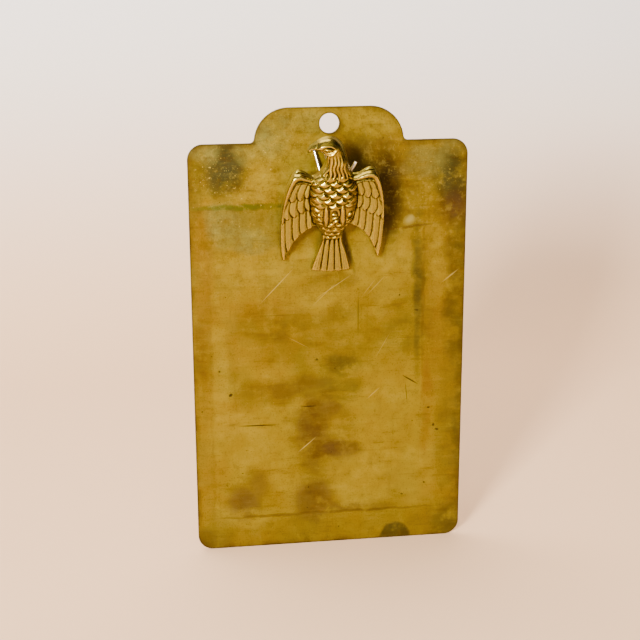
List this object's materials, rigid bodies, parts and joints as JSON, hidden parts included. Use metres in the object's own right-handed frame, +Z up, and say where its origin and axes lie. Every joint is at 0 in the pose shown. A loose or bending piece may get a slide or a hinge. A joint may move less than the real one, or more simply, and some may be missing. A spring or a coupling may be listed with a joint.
{
  "type": "clipboard",
  "caption": "Brass wall or desk clipboard: a flat sheet with rounded corners and a holed hanging tab, and a cast eagle that clamps paper on a sprung hinge.",
  "frame": {"origin": "centre of the hang hole, on the sheet's back face", "axes": "+Z up the sheet, +X to the right as it faces the viewer, -Y out of its front"},
  "size_m": [0.1524, 0.0302, 0.252],
  "materials": {
    "sheet_brass": "tarnished, brushed satin",
    "saddle_brass": "dull, folded strip",
    "rivet_brass": "dull",
    "pin_steel": "dull turned steel",
    "spring_steel": "bright plated wire",
    "cast_brass": "polished casting with dark recesses"
  },
  "bodies": {
    "board": {"board_plate": "sheet_brass", "clip_base": "saddle_brass", "rivet_upper": "rivet_brass", "rivet_lower": "rivet_brass", "hinge_pin": "pin_steel", "torsion_spring": "spring_steel"},
    "eagle": {"eagle_casting": "cast_brass"}
  },
  "joints": [
    {"name": "clip_lever", "type": "hinge", "parent": "board", "child": "eagle", "pos_m": [0, -0.01142, -0.0361], "axis": [-1, 0, 0], "range_deg": [0, 20], "stiffness_Nm_per_rad": 0.5, "springref_deg": -28.65, "deforming": ["torsion_spring"]}
  ]
}
